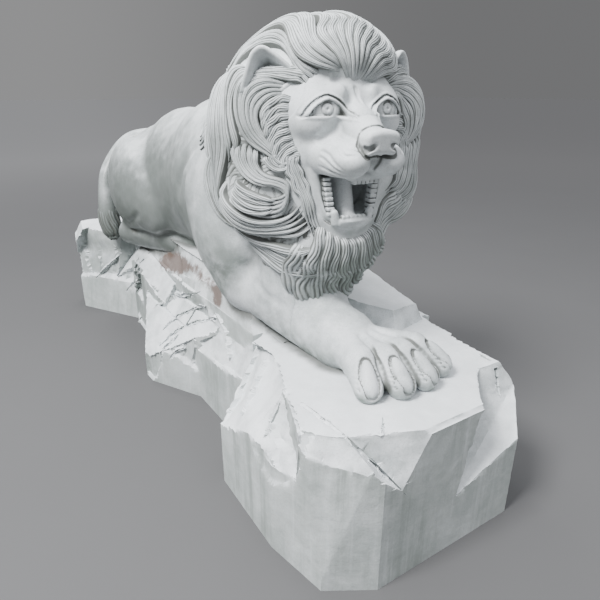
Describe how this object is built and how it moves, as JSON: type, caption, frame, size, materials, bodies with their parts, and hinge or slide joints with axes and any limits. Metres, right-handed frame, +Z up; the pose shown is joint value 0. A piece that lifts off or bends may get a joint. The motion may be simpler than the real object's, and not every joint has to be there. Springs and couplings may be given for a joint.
{
  "type": "stone lion statue",
  "caption": "Carved marble lion with a full mane and open jaws lying on a rough-hewn rock, one foreleg stretched ahead, all cut from one block.",
  "frame": {"origin": "centre of the bounding box at ground level, under the rock", "axes": "+Z up from the ground, -Y ahead where the lion faces, +X to the lion's left"},
  "size_m": [0.8206, 2.37, 1.2737],
  "materials": {
    "marble": "honed, weathered"
  },
  "bodies": {
    "root": {"marble_lion": "marble"}
  },
  "joints": []
}
